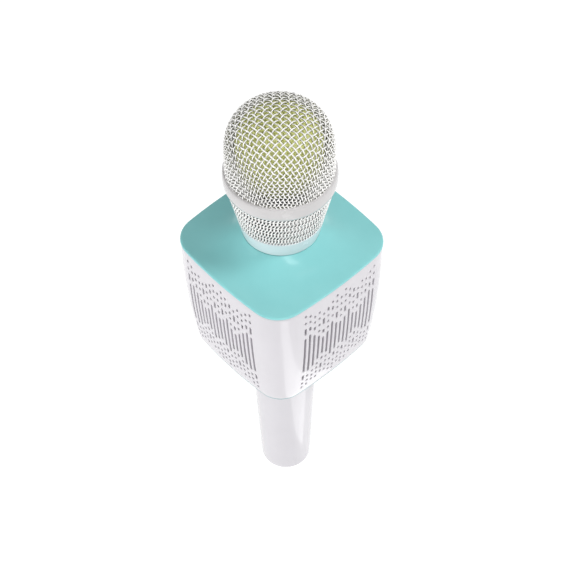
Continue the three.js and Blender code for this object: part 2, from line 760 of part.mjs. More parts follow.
function battery() {
  const top = BATTERY_BOTTOM + BATTERY_LENGTH;
  const canTop = top - 1.4;
  const cell = turned([
    [0, BATTERY_BOTTOM],
    [BATTERY_RADIUS, BATTERY_BOTTOM],
    [BATTERY_RADIUS, canTop],
    [2.8, canTop],
    [2.8, top],
    [0, top],
  ], 24);
  const trough = disc(BATTERY_RADIUS + 1.6, BATTERY_BOTTOM - 4, top + 3, 24);
  const hollow = disc(BATTERY_RADIUS + GAP, BATTERY_BOTTOM - 2.6, top + 1.6, 24);
  const front = block([-12, -12, 0], [12, 0, HANDLE_TOP]);
  const coilBottom = BATTERY_BOTTOM - 2.2;
  const coilTop = BATTERY_BOTTOM - GAP;
  const springContact = turned([
    [0, coilBottom],
    [5, coilBottom],
    [5, coilBottom + 0.5],
    [1.6, coilTop],
    [0, coilTop],
  ], 16);
  const endContact = disc(4.5, top + GAP, top + 0.9, 16);
  const parts = [
    ['battery_cell', cell, CELL],
    ['battery_cradle', cut(trough, hollow, front), DARK],
    ['battery_spring_contact', springContact, STEEL],
    ['battery_end_contact', endContact, STEEL],
  ];
  parts.forEach(([name, geometry, look]) => piece(name, geometry.translate(0, BATTERY_Y, 0), look));
}

/** End cap with a charging opening and a line-in opening, flush with the handle's end. */
function endCap() {
  const [neck, flange] = [END_OPENING - GAP, 11];
  const [flangeBottom, flangeTop] = [END_LIP + GAP, 4.4];
  const cap = turned([
    [0, 0],
    [neck, 0],
    [neck, flangeBottom],
    [flange, flangeBottom],
    [flange, flangeTop],
    [0, flangeTop],
  ], 32);
  const chargingOpening = roundedPlate(9, 3.6, 1.6, -1, 6).translate(0, CHARGING_Y, 0);
  const lineOpening = disc(2.1, -1, 6, 16).translate(0, LINE_IN_Y, 0);
  return cut(cap, chargingOpening, lineOpening);
}

function chargingSocket() {
  const shell = roundedPlate(8.4, 3, 1.3, 0.6, 7.6);
  const mouth = roundedPlate(7.4, 2, 0.8, 0, 5.6);
  return cut(shell, mouth).translate(0, CHARGING_Y, 0);
}

/** Line-in socket: a narrow sleeve through the cap, and a wider body behind it. */
function lineSocket() {
  return turned([
    [1.3, 0.6],
    [1.8, 0.6],
    [1.8, 4.8],
    [3, 4.8],
    [3, 12],
    [0, 12],
    [0, 10.4],
    [1.3, 10.4],
  ], 12).translate(0, LINE_IN_Y, 0);
}

function handle() {
  const frame = controlFrame();
  piece('handle_tube', handleTube(frame), WHITE);
  piece('end_cap', endCap(), WHITE);
  piece('charging_socket', chargingSocket(), STEEL);
  piece('line_socket', lineSocket(), DARK);
  controls(frame);
  battery();
  microphone.add(frame);
}

speakerBody();
head();
neckAndCapsule();
handle();

export default microphone;
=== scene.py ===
"""Children's karaoke microphone: woven head, square speaker body and tapered handle.
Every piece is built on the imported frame."""
import math

import bmesh
import bpy
import numpy as np
from mathutils import Matrix, Vector
from mathutils.geometry import delaunay_2d_cdt


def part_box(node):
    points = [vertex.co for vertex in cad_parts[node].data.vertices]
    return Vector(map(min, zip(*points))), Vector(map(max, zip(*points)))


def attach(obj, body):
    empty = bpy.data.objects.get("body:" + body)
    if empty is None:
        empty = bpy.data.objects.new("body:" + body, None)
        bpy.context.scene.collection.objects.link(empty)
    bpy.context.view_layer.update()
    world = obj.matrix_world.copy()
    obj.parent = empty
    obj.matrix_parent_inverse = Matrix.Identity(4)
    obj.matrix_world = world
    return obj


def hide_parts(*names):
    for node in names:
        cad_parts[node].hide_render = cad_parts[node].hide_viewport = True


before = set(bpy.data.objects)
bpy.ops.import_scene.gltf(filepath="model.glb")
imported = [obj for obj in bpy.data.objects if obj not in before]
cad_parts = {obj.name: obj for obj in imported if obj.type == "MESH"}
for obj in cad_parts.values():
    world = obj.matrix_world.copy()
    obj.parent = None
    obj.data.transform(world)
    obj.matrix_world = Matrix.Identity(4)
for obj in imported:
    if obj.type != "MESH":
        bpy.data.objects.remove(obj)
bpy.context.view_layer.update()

MM = 0.001

# ---------------------------------------------------------------- dimensions, in millimetres

RIM_Z, RIM_HALF = 184.9, 40.0
SIDE_RADIUS, CORNER_RADIUS = 278.0, 14.9
BASE_Z, BASE_EDGE = 111.5, 0.8
SHELL_HALF, SHELL_WALL = 39.8, 2.0
SHELL_LOW, SHELL_HIGH = 112.6, 183.1
BARREL_TAPER, BARREL_POWER = 4.2, 2.4
SLOT_PITCH, SLOT_WIDTH, SHORT_SLOT, PATTERN_SHIFT = 2.81, 1.2, 1.9, -2.2
NECK_Z, NECK_RADIUS, NECK_BORE = 193.9, 19.0, 16.3
RING_TOP_R, RING_TOP_Z = 20.8, 203.7
BAND_R, BAND_LOW, BAND_HIGH = 26.2, 226.7, 234.8
DOME_RADIUS, DOME_STRAIGHT, DOME_CAP, DOME_POWER = 25.7, 9.6, 26.3, 2.5
WIRE, CONE_WIRE, SWAY = 0.7, 0.8, 0.5
HANDLE_TOP, HANDLE_R_TOP, HANDLE_R_END = 111.2, 17.8, 13.4
PANEL_Z, PANEL_W, PANEL_L, PANEL_T, PANEL_CORNER, FLAT_DEPTH = 62.0, 13.4, 71.4, 1.6, 3.0, 2.6

# Slots of one half of a face, from the outermost column to the middle one, as depths below the rim.
# A single number is a short slot centred on that depth.
SLOT_COLUMNS = [
    [7.4, 12.7, (16.8, 22), (24.8, 53.5), (56.6, 60.7), 64.1, 67.8],
    [9.1, 13.5, (17.3, 20.4), (23.5, 54.8), 59.1, 63.2, 67],
    [12, 16.3, (19.8, 22.6), (26.3, 53.2), 57, 61.3, 64.8],
    [11, 15.7, 20.7, 25.7, (29.5, 49.5), 53.5, 57.3, 61, 65.4],
    [14.2, (17.6, 22.3), (26.3, 29.2), (32.6, 47), (49.5, 52.3), (55.7, 60.1), 62.9],
    [(11.3, 14.2), 17.9, 22.3, 27, (30.7, 48.5), 52, 56, 59.8, 64.2],
    [9.8, (13.2, 16), 20.4, (25.1, 52.9), 57.3, (61.3, 63.5), 66.7],
    [7.3, 11.7, 16.3, (20.1, 24.8), (28.5, 50.7), (53.5, 57), 61, 64.8, 67.9],
    [11, 16, 20.7, 25.4, (30.1, 48.2), 52.6, 57.3, 61.3, 65.1],
]

# Places across and along the control panel; a button has its radius as well.
SLIDERS = {"mic_volume": -4.2, "echo": 0.0, "music_volume": 4.2}
SLIDER_ALONG, SLIDER_REACH = 19.0, 8.0
BUTTONS = {
    "play": (0.0, 2.5, 3.0), "previous": (-3.2, -5.0, 2.3), "next": (3.2, -5.0, 2.3),
    "mode": (0.0, -12.5, 2.6), "power": (0.0, -25.0, 3.3),
}


# ---------------------------------------------------------------- camera, light and floor, in metres

def add_camera():
    """Looks down on the corner between the +X and +Y faces, rolled a little."""
    azimuth, elevation, roll = math.radians(138.43), math.radians(51.35), math.radians(-1.15)
    distance, shift_right, shift_down = 788.3 * MM, 1.66 * MM, 22.6 * MM
    back = Vector((
        math.sin(azimuth) * math.cos(elevation),
        -math.cos(azimuth) * math.cos(elevation),
        math.sin(elevation),
    ))
    side = Vector((math.cos(azimuth), math.sin(azimuth), 0))
    up = back.cross(side)
    right = math.cos(roll) * side + math.sin(roll) * up
    top = -math.sin(roll) * side + math.cos(roll) * up
    data = bpy.data.cameras.new("camera")
    data.lens = 103.9
    data.sensor_width = 36
    data.clip_start, data.clip_end = 0.05, 20
    camera = bpy.data.objects.new("camera", data)
    place = Vector((0, 0, RIM_Z * MM)) + back * distance + right * shift_right - top * shift_down
    turn = Matrix((right, top, back)).transposed().to_4x4()
    camera.matrix_world = Matrix.Translation(place) @ turn
    bpy.context.collection.objects.link(camera)
    bpy.context.scene.camera = camera


def add_light(name, place, size, power, glossy=False):
    """A soft light; size is its width and height. Only a glossy one shows in reflections."""
    aim = Vector((0, 0, 0.19))
    data = bpy.data.lights.new(name, "AREA")
    data.shape = "ELLIPSE"
    data.size, data.size_y = size
    data.energy = power
    light = bpy.data.objects.new(name, data)
    light.location = place
    light.rotation_mode = "QUATERNION"
    light.rotation_quaternion = (aim - Vector(place)).to_track_quat("-Z", "Y")
    light.visible_glossy = glossy
    bpy.context.collection.objects.link(light)


def add_card(side, front):
    """A light card on the floor in front of the microphone, seen only in its glossy skin."""
    width, length, power = 0.06, 0.3, 0.055
    side_gap, front_gap, lift = 0.02, 0.012, 0.002
    data = bpy.data.lights.new("card", "AREA")
    data.shape = "RECTANGLE"
    data.size, data.size_y = width, length
    data.energy = power
    card = bpy.data.objects.new("card", data)
    turn = Matrix((side, front, (0, 0, -1))).transposed().to_4x4()
    place = Vector(side) * (side_gap + width / 2) + Vector(front) * (front_gap + length / 2)
    place.z = lift
    card.matrix_world = Matrix.Translation(place) @ turn
    card.visible_camera = False
    card.visible_diffuse = False
    bpy.context.collection.objects.link(card)


def add_sky(side):
    """A sky that brightens evenly from the far side towards side."""
    away, towards = -0.8, 0.4
    dim, bright = 0.28, 0.56
    world = bpy.data.worlds.new("studio")
    bpy.context.scene.world = world
    world.use_nodes = True
    nodes, links = world.node_tree.nodes, world.node_tree.links
    place = nodes.new("ShaderNodeTexCoord")
    along = nodes.new("ShaderNodeVectorMath")
    along.operation = "DOT_PRODUCT"
    along.inputs[1].default_value = side
    spread = nodes.new("ShaderNodeMapRange")
    for socket, value in (("From Min", away), ("From Max", towards), ("To Min", dim), ("To Max", bright)):
        spread.inputs[socket].default_value = value
    sky = nodes["Background"]
    sky.inputs["Color"].default_value = (1, 1, 1, 1)
    links.new(place.outputs["Generated"], along.inputs[0])
    links.new(along.outputs["Value"], spread.inputs["Value"])
    links.new(spread.outputs["Result"], sky.inputs["Strength"])


def add_floor():
    reach = 4
    bm = bmesh.new()
    bmesh.ops.create_grid(bm, x_segments=1, y_segments=1, size=reach)
    mesh = bpy.data.meshes.new("floor")
    bm.to_mesh(mesh)
    bm.free()
    floor = bpy.data.objects.new("floor", mesh)
    floor.data.materials.append(FLOOR)
    bpy.context.collection.objects.link(floor)


def add_studio():
    """Lights from the camera's side; side points to the picture's right and front to the camera."""
    bpy.context.scene.view_settings.view_transform = "Standard"
    side, front = (-0.748, 0.663, 0), (0.663, 0.748, 0)
    add_sky(side)
    add_card(side, front)
    add_light("key", (0.3, 0.95, 1.1), (0.9, 0.2), 1.7, glossy=True)
    add_light("high", (-0.35, 0.55, 1.25), (0.3, 0.3), 6)
    add_light("side", (1.1, -0.4, 0.4), (0.6, 0.6), 5.5)
    add_light("front", (0.8, 0.9, 0.75), (0.5, 0.5), 2)
    add_floor()


# ---------------------------------------------------------------- materials; noise in cycles per metre

def shader_of(material):
    return material.node_tree.nodes["Principled BSDF"]


def new_material(name, colour, roughness, metallic=0.0, **sockets):
    """A Principled material; sockets are further inputs by name, with _ for a space."""
    material = bpy.data.materials.new(name)
    material.use_nodes = True
    shader = shader_of(material)
    shader.inputs["Base Color"].default_value = (*colour, 1)
    shader.inputs["Roughness"].default_value = roughness
    shader.inputs["Metallic"].default_value = metallic
    for socket, value in sockets.items():
        shader.inputs[socket.replace("_", " ")].default_value = value
    return material


def linear(r, g, b):
    """Scene-linear colour of an 8-bit display colour."""
    def one(c):
        c /= 255
        return c / 12.92 if c <= 0.04045 else ((c + 0.055) / 1.055) ** 2.4
    return one(r), one(g), one(b)


def add_node(material, kind, **settings):
    """A node with its attributes and, by the same names, its input values."""
    node = material.node_tree.nodes.new(kind)
    for key, value in settings.items():
        if hasattr(node, key):
            setattr(node, key, value)
        else:
            node.inputs[key.replace("_", " ")].default_value = value
    return node


def link(material, source, output, target, socket):
    material.node_tree.links.new(source.outputs[output], target.inputs[socket])


def object_noise(material, scale, detail=3.0, stretch=(1, 1, 1)):
    """Noise in object space."""
    place = add_node(material, "ShaderNodeTexCoord")
    mapping = add_node(material, "ShaderNodeMapping", Scale=stretch)
    noise = add_node(material, "ShaderNodeTexNoise", Scale=scale, Detail=detail)
    link(material, place, "Object", mapping, "Vector")
    link(material, mapping, "Vector", noise, "Vector")
    return noise


def vary_colour(material, source, first, second, low=0.35, high=0.65, output="Fac"):
    """The base colour goes from first to second as the source's output goes from low to high."""
    ramp = add_node(material, "ShaderNodeValToRGB")
    start, end = ramp.color_ramp.elements
    start.position, start.color = low, (*first, 1)
    end.position, end.color = high, (*second, 1)
    link(material, source, output, ramp, "Fac")
    link(material, ramp, "Color", shader_of(material), "Base Color")


def vary_roughness(material, noise, low, high):
    spread = add_node(material, "ShaderNodeMapRange", To_Min=low, To_Max=high)
    link(material, noise, "Fac", spread, "Value")
    link(material, spread, "Result", shader_of(material), "Roughness")


def add_bump(material, source, strength, distance, output="Fac"):
    bump = add_node(material, "ShaderNodeBump", Strength=strength, Distance=distance)
    link(material, source, output, bump, "Height")
    link(material, bump, "Normal", shader_of(material), "Normal")


def moulded(name, colour, other, roughness, coat=0.0):
    """Moulded plastic: slow colour drift, slightly uneven gloss and a fine satin grain."""
    drift, gloss, grain = 45, 160, 2600
    material = new_material(name, colour, roughness, Coat_Weight=coat, Coat_Roughness=0.12)
    vary_colour(material, object_noise(material, drift), colour, other)
    vary_roughness(material, object_noise(material, gloss, 4), roughness - 0.06, roughness + 0.08)
    add_bump(material, object_noise(material, grain, 2), strength=0.06, distance=0.0002)
    return material


def metal(name, colour, roughness):
    """Turned metal, with a fine grain drawn out across Z."""
    material = new_material(name, colour, roughness, metallic=1.0)
    grain = object_noise(material, 900, 3, stretch=(1, 1, 14))
    vary_roughness(material, grain, roughness - 0.08, roughness + 0.12)
    add_bump(material, grain, strength=0.05, distance=0.0001)
    return material


def rough(name, colour, other, roughness, scale, bump, distance, **sockets):
    """Rubber, paper, foam, iron or board: mottled colour and a grain that is easy to see close up."""
    material = new_material(name, colour, roughness, **sockets)
    grain = object_noise(material, scale, 5)
    vary_colour(material, grain, colour, other)
    add_bump(material, grain, bump, distance)
    return material


def woven_cloth(name, colour, other, pitch):
    """Plain weave over X, Y and Z from two crossed wave patterns."""
    material = new_material(name, colour, 0.95, Sheen_Weight=0.3)
    place = add_node(material, "ShaderNodeTexCoord")
    both = add_node(material, "ShaderNodeMath", operation="MULTIPLY")
    for socket, direction in enumerate(("Z", "DIAGONAL")):
        wave = add_node(material, "ShaderNodeTexWave", bands_direction=direction, Scale=1 / pitch)
        link(material, place, "Object", wave, "Vector")
        link(material, wave, "Fac", both, socket)
    vary_colour(material, both, other, colour, 0, 1, "Value")
    add_bump(material, both, 0.4, 0.0003, "Value")
    return material


def wire_with_painted_inner_shade(name, colour, inner_shade, roughness, coat):
    """Wire paint that turns a darker grey on the side facing the middle of the dome: painted shade inside the
    head.
    """
    material = new_material(name, colour, roughness, Coat_Weight=coat)
    place = add_node(material, "ShaderNodeTexCoord")
    away = add_node(material, "ShaderNodeVectorMath", operation="SUBTRACT")
    away.inputs[1].default_value = (0, 0, BAND_HIGH * MM)
    unit = add_node(material, "ShaderNodeVectorMath", operation="NORMALIZE")
    facing = add_node(material, "ShaderNodeVectorMath", operation="DOT_PRODUCT")
    link(material, place, "Object", away, 0)
    link(material, away, "Vector", unit, 0)
    link(material, unit, "Vector", facing, 0)
    link(material, place, "Normal", facing, 1)
    # Painted shade: the side that faces the middle of the dome gets the darker grey.
    vary_colour(material, facing, inner_shade, colour, 0, 0.3, "Value")
    return material


WHITE = moulded("white_plastic", linear(205, 202, 207), linear(208, 205, 210), 0.45, 1)
PEARL = moulded("pearl_plastic", linear(197, 195, 195), linear(203, 201, 201), 0.24, 0.4)
# A paler, cyan-tinted copy of the pearl plastic for the neck ring: the tint is painted bounce light from the
# teal plate.
PEARL_PAINTED_BOUNCE = moulded("pearl_plastic_painted_bounce", linear(218, 228, 231), linear(221, 231, 234), 0.24, 0.4)
KEY = moulded("key_plastic", linear(240, 240, 240), linear(234, 234, 236), 0.4)
TEAL = moulded("teal_plastic", linear(136, 208, 209), linear(141, 212, 213), 0.22, 0.3)
# A darker copy of the teal plastic for the base plate: painted shade of the seam under the shell.
TEAL_PAINTED_SHADE = moulded("teal_plastic_painted_shade", linear(84, 156, 158), linear(88, 160, 162), 0.4)
LIME = rough("lime_foam", linear(243, 246, 172), linear(212, 217, 124), 0.95, 900, 0.9, 0.0012)
# The wires' darker grey on their inward side is painted shade inside the head.
ENAMEL_WITH_PAINTED_SHADE = wire_with_painted_inner_shade("pearl_enamel_painted_shade", linear(252, 251, 249), linear(128, 128, 129), 0.2, 0.5)
CLOTH = woven_cloth("dust_weave", linear(243, 241, 245), linear(200, 198, 203), 0.0009)
BLACK = moulded("black_plastic", (0.02, 0.021, 0.023), (0.027, 0.028, 0.03), 0.5)
PAPER = rough("cone_paper", (0.03, 0.03, 0.032), (0.05, 0.05, 0.05), 0.8, 700, 0.5, 0.0003)
IRON = rough("magnet_iron", (0.05, 0.05, 0.055), (0.035, 0.035, 0.04), 0.65, 400, 0.4, 0.0002)
RUBBER = rough("black_rubber", (0.012, 0.012, 0.013), (0.02, 0.02, 0.02), 0.72, 1200, 0.3, 0.0001)
STEEL = metal("steel", (0.56, 0.57, 0.58), 0.3)
BOARD = rough("green_board", (0.012, 0.11, 0.055), (0.02, 0.15, 0.08), 0.42, 500, 0.2, 0.0001)
WRAP = moulded("cell_wrap", (0.03, 0.16, 0.42), (0.035, 0.19, 0.46), 0.35, 0.3)
INK = moulded("grey_ink", (0.16, 0.17, 0.18), (0.2, 0.2, 0.21), 0.55)
SOCKET = metal("socket_metal", (0.6, 0.6, 0.62), 0.35)
# The floor glows, so that it comes out as the photo's plain white ground.
FLOOR = rough("pale_floor", linear(150, 150, 151), linear(147, 147, 148), 0.9, 6, 0.02, 0.001,
              Emission_Color=(1, 1, 1, 1), Emission_Strength=0.86)


# ---------------------------------------------------------------- mesh helpers; points are in millimetres

def add_piece(name, parts, material, body, stands_for=(), sharp=35):
    """One mesh piece from (points, faces) parts. Edges that turn by more than sharp degrees stay crisp."""
    weld, sliver = 0.003 * MM, 0.0001 * MM
    points, faces = joined(parts)
    mesh = bpy.data.meshes.new(name)
    mesh.from_pydata((points * MM).tolist(), [], faces)
    bm = bmesh.new()
    bm.from_mesh(mesh)
    bmesh.ops.remove_doubles(bm, verts=bm.verts, dist=weld)
    bmesh.ops.dissolve_degenerate(bm, edges=bm.edges, dist=sliver)
    bmesh.ops.recalc_face_normals(bm, faces=bm.faces)
    for face in bm.faces:
        face.smooth = True
    bm.to_mesh(mesh)
    bm.free()
    mesh.set_sharp_from_angle(angle=math.radians(sharp))
    mesh.materials.append(material)
    piece = bpy.data.objects.new(name, mesh)
    bpy.context.collection.objects.link(piece)
    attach(piece, body)
    if stands_for:
        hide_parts(*stands_for)
    return piece


def joined(parts):
    """The parts as one."""
    points, faces, start = [], [], 0
    for part_points, part_faces in parts:
        points.append(np.asarray(part_points, float).reshape(-1, 3))
        faces += [tuple(i + start for i in face) for face in part_faces]
        start += len(points[-1])
    return np.concatenate(points), faces


def moved(parts, place):
    """The parts with place(x, y, z) applied to every point."""
    return [(np.array([place(*p) for p in points]), faces) for points, faces in parts]


def shifted(parts, x, y, z):
    return moved(parts, lambda a, b, c: (a + x, b + y, c + z))


def strip(rings, closed_ring=True, closed_round=False):
    """Quads between successive rings of equal length."""
    count = len(rings[0])
    faces = []
    for k in range(len(rings) if closed_round else len(rings) - 1):
        here, there = k * count, (k + 1) % len(rings) * count
        for i in range(count if closed_ring else count - 1):
            j = (i + 1) % count
            faces.append((here + i, here + j, there + j, there + i))
    return np.concatenate([np.asarray(ring, float) for ring in rings]), faces


def rounded_section(corners):
    """A closed section from (r, z, fillet) corners, with an arc in place of each corner."""
    steps = 5
    out = []
    for k, (r, z, fillet) in enumerate(corners):
        here = np.array((r, z), float)
        before = np.array(corners[k - 1][:2], float) - here
        after = np.array(corners[(k + 1) % len(corners)][:2], float) - here
        before /= np.linalg.norm(before)
        after /= np.linalg.norm(after)
        half = math.acos(max(-1, min(1, float(before @ after)))) / 2
        reach = fillet / math.tan(half)
        middle = here + (before + after) / np.linalg.norm(before + after) * fillet / math.sin(half)
        start, end = here + before * reach - middle, here + after * reach - middle
        turn = math.atan2(start[0] * end[1] - start[1] * end[0], float(start @ end))
        for i in range(steps + 1):
            a = turn * i / steps
            out.append((
                middle[0] + start[0] * math.cos(a) - start[1] * math.sin(a),
                middle[1] + start[0] * math.sin(a) + start[1] * math.cos(a),
            ))
    return out


def lathe(section, segments, closed=True):
    """Turns (radius, height) points about Z."""
    angles = np.linspace(0, 2 * math.pi, segments, endpoint=False)
    rings = [np.stack([r * np.cos(angles), r * np.sin(angles), np.full(segments, z)], -1) for r, z in section]
    return strip(rings, closed_round=closed)


def rounded_rectangle(u, v, width, height, radius, run=4.0, arc_steps=5):
    """A function that gives the outline, anticlockwise, moved outwards by an offset.
    Its straight sides are cut into pieces of about the length run."""
    def outline_at(offset=0.0):
        across, along = width / 2 - radius, height / 2 - radius
        grown = radius + offset
        centres = [(across, along), (-across, along), (-across, -along), (across, -along)]
        points = []
        for quarter, (cx, cy) in enumerate(centres):
            nx, ny = centres[(quarter + 1) % 4]
            straight = math.hypot(nx - cx, ny - cy)
            last = arc_steps if straight > 1e-6 else arc_steps - 1
            for i in range(last + 1):
                a = math.pi / 2 * (quarter + i / arc_steps)
                points.append((u + cx + grown * math.cos(a), v + cy + grown * math.sin(a)))
            pieces = max(1, round(straight / run))
            end = math.pi / 2 * (quarter + 1)
            for i in range(1, pieces):
                t = i / pieces
                points.append((
                    u + cx + (nx - cx) * t + grown * math.cos(end),
                    v + cy + (ny - cy) * t + grown * math.sin(end),
                ))
        return points
    return outline_at


def circle_hole(u, v, radius, arc_steps=8):
    return rounded_rectangle(u, v, 2 * radius, 2 * radius, radius, arc_steps=arc_steps)


def arc(radius, start, end):
    """Points round the middle, from start to end degrees."""
    return [(radius * math.cos(a), radius * math.sin(a)) for a in np.radians(np.linspace(start, end, 18))]


def bar(x0, y0, x1, y1):
    return [(x0, y0), (x1, y0), (x1, y1), (x0, y1)]


def inside(polygon, points):
    """Which of the points lie inside the polygon."""
    polygon = np.asarray(polygon)
    result = np.zeros(len(points), bool)
    x0, y0 = polygon[-1]
    for x1, y1 in polygon:
        crosses = (y1 > points[:, 1]) != (y0 > points[:, 1])
        with np.errstate(divide="ignore", invalid="ignore"):
            x = (x0 - x1) * (points[:, 1] - y1) / (y0 - y1) + x1
        result ^= crosses & (points[:, 0] < x)
        x0, y0 = x1, y1
    return result


def triangulated(loops, extra=()):
    """Triangles inside the first loop and outside the others, as (flat points, faces)."""
    points, edges = [], []
    for loop in loops:
        start, count = len(points), len(loop)
        points += [Vector(p) for p in loop]
        edges += [(start + i, start + (i + 1) % count) for i in range(count)]
    points += [Vector(p) for p in extra]
    whole_hull, epsilon = 0, 1e-6
    flat, _, faces, *_ = delaunay_2d_cdt(points, edges, [], whole_hull, epsilon)
    flat = np.array([tuple(p) for p in flat])
    faces = np.array(faces)
    middles = flat[faces].mean(axis=1)
    keep = inside(loops[0], middles)
    for loop in loops[1:]:
        low, high = np.min(loop, axis=0), np.max(loop, axis=0)
        near = np.where(((middles >= low) & (middles <= high)).all(axis=1) & keep)[0]
        keep[near[inside(loop, middles[near])]] = False
    return flat, [tuple(f) for f in faces[keep].tolist()]


def level(loop, z):
    """The flat loop's points at height z."""
    return [(u, v, z) for u, v in loop]


def level_sheet(loops, z):
    """A flat sheet at height z, inside the first loop and outside the others."""
    flat, faces = triangulated(loops)
    return level(flat, z), faces


def raised(polygon, low, high):
    """A thin raised print with the polygon's outline."""
    return joined([level_sheet([polygon], high), strip([level(polygon, low), level(polygon, high)])])


def punched(surface, edge, holes, thickness, chamfer, extra=(), rim=True):
    """Outer and inner skins over a flat domain, with holes through them and the walls between.
    surface(u, v, depth) gives a point. edge and every hole give their outline for an offset.
    extra points go into the skins; rim adds a wall round the edge."""
    parts = []
    for edge_offset, hole_offset, depth in ((-chamfer if rim else 0, chamfer, 0), (0, 0, thickness)):
        flat, faces = triangulated([edge(edge_offset)] + [hole(hole_offset) for hole in holes], extra)
        parts.append((np.array([surface(u, v, depth) for u, v in flat]), faces))
    walls = [(hole, chamfer) for hole in holes] + ([(edge, -chamfer)] if rim else [])
    for outline_at, first in walls:
        steps = [(first, 0), (0, chamfer), (0, thickness)]
        rings = [[surface(u, v, depth) for u, v in outline_at(offset)] for offset, depth in steps]
        parts.append(strip(rings))
    return parts


def skin_edge(columns, heights):
    """Outline of a flat skin through its outermost columns and heights, anticlockwise."""
    edge = [(u, heights[0]) for u in columns] + [(columns[-1], z) for z in heights[1:-1]]
    return edge + [(u, heights[-1]) for u in columns[::-1]] + [(columns[0], z) for z in heights[-2:0:-1]]


def skin_lip(surface, columns, z, section):
    """The rounded edge of a skin at height z, through the (depth, rise) points of its section."""
    rings = [[(*surface(u, z, depth)[:2], z + rise) for u in columns] for depth, rise in section]
    return strip(rings, closed_ring=False)


def tube(path, normals, radius):
    """A six-sided wire along the path, with closed ends."""
    sides = 6
    along = np.gradient(path, axis=0)
    along /= np.linalg.norm(along, axis=1, keepdims=True)
    side = np.cross(along, normals)
    side /= np.linalg.norm(side, axis=1, keepdims=True)
    out = np.cross(side, along)
    angles = np.linspace(0, 2 * math.pi, sides, endpoint=False)
    rings = [path[k] + radius * (np.outer(np.cos(angles), out[k]) + np.outer(np.sin(angles), side[k]))
             for k in range(len(path))]
    points, faces = strip(rings)
    faces.append(tuple(range(sides)))
    faces.append(tuple(range(len(points) - sides, len(points))))
    return points, faces


# ---------------------------------------------------------------- the body's square outline

SIDE_CENTRE = RIM_HALF - SIDE_RADIUS
CORNER_CENTRE = (SIDE_CENTRE + math.sqrt(2 * (SIDE_RADIUS - CORNER_RADIUS) ** 2 - SIDE_CENTRE ** 2)) / 2
SIDE_TURN = math.atan2(CORNER_CENTRE, CORNER_CENTRE - SIDE_CENTRE)
DIAGONAL = CORNER_CENTRE + CORNER_RADIUS * math.sin(math.pi / 4)


def outline(half, z):
    """The bowed square with round corners at height z."""
    side_steps, corner_steps = 20, 16
    k = half / RIM_HALF
    quarter = []
    for a in np.linspace(-SIDE_TURN, SIDE_TURN, side_steps, endpoint=False):
        quarter.append((SIDE_CENTRE + SIDE_RADIUS * math.cos(a), SIDE_RADIUS * math.sin(a)))
    for a in np.linspace(SIDE_TURN, math.pi / 2 - SIDE_TURN, corner_steps, endpoint=False):
        x, y = CORNER_RADIUS * math.cos(a), CORNER_RADIUS * math.sin(a)
        quarter.append((CORNER_CENTRE + x, CORNER_CENTRE + y))
    ring = list(quarter)
    for _ in range(3):
        quarter = [(-y, x) for x, y in quarter]
        ring += quarter
    return np.array([(x * k, y * k, z) for x, y in ring])


def round_like_outline(radius, z):
    """A circle with its points at the turns of the outline's points."""
    ring = outline(RIM_HALF, z)
    ring[:, :2] *= radius / np.linalg.norm(ring[:, :2], axis=1, keepdims=True)
    return ring


def shell_half(z):
    return SHELL_HALF - BARREL_TAPER * ((RIM_Z - z) / (RIM_Z - BASE_Z)) ** BARREL_POWER


def face_point(u, z, depth):
    """A point of the shell's +X face. u runs from -DIAGONAL to DIAGONAL, between the corners' middles."""
    k = shell_half(z) / RIM_HALF
    y = u * k
    if abs(u) <= SIDE_RADIUS * math.sin(SIDE_TURN):
        cx, cy, radius = SIDE_CENTRE * k, 0.0, SIDE_RADIUS * k
    else:
        cx, cy, radius = CORNER_CENTRE * k, math.copysign(CORNER_CENTRE * k, u), CORNER_RADIUS * k
    x = cx + math.sqrt(radius ** 2 - (y - cy) ** 2)
    inward = 1 - depth / radius
    return cx + (x - cx) * inward, cy + (y - cy) * inward, z


# ---------------------------------------------------------------- speaker body

def on_face(plain):
    """The outline in the face's own (u, z), where the face is equally wide at every height."""
    return lambda offset: [(y / (shell_half(z) / RIM_HALF), z) for y, z in plain(offset)]


def slot_shapes(shift):
    """Outlines of the slots of one face."""
    shapes = []
    last = 2 * (len(SLOT_COLUMNS) - 1)
    for column in range(last + 1):
        across = shift + (column - last / 2) * SLOT_PITCH
        for slot in SLOT_COLUMNS[min(column, last - column)]:
            high, low = slot if isinstance(slot, tuple) else (slot - SHORT_SLOT / 2, slot + SHORT_SLOT / 2)
            middle = RIM_Z - (high + low) / 2
            size = SLOT_WIDTH, low - high, SLOT_WIDTH / 2
            shapes.append(on_face(rounded_rectangle(across, middle, *size, run=3.0, arc_steps=4)))
    return shapes


def shell_face(shift):
    """The +X face from corner to corner, with its slots moved sideways by shift, and its lips."""
    lip, margin = 0.15, 1.2
    low, high = SHELL_LOW + lip, SHELL_HIGH - lip
    heights = np.linspace(low, high, 36)
    columns = np.linspace(-DIAGONAL, DIAGONAL, 57)
    edge = skin_edge(columns, heights)
    spots = []    # between the columns of slots, so that the skin follows its curve there
    for z in heights[1:-1]:
        k = shell_half(z) / RIM_HALF
        first, pitch = (shift - SLOT_PITCH / 2) / k, SLOT_PITCH / k
        start = math.ceil((margin - DIAGONAL - first) / pitch)
        end = math.floor((DIAGONAL - margin - first) / pitch)
        spots += [(first + i * pitch, z) for i in range(start, end + 1)]
    slots = slot_shapes(shift)
    face = punched(face_point, lambda offset: edge, slots, SHELL_WALL, chamfer=0.18, extra=spots, rim=False)
    section = [(0, 0), (0.05, 0.1), (lip, lip), (SHELL_WALL - lip, lip), (SHELL_WALL, 0)]
    for z, way in ((low, -1), (high, 1)):
        face.append(skin_lip(face_point, columns, z, [(depth, way * rise) for depth, rise in section]))
    return face


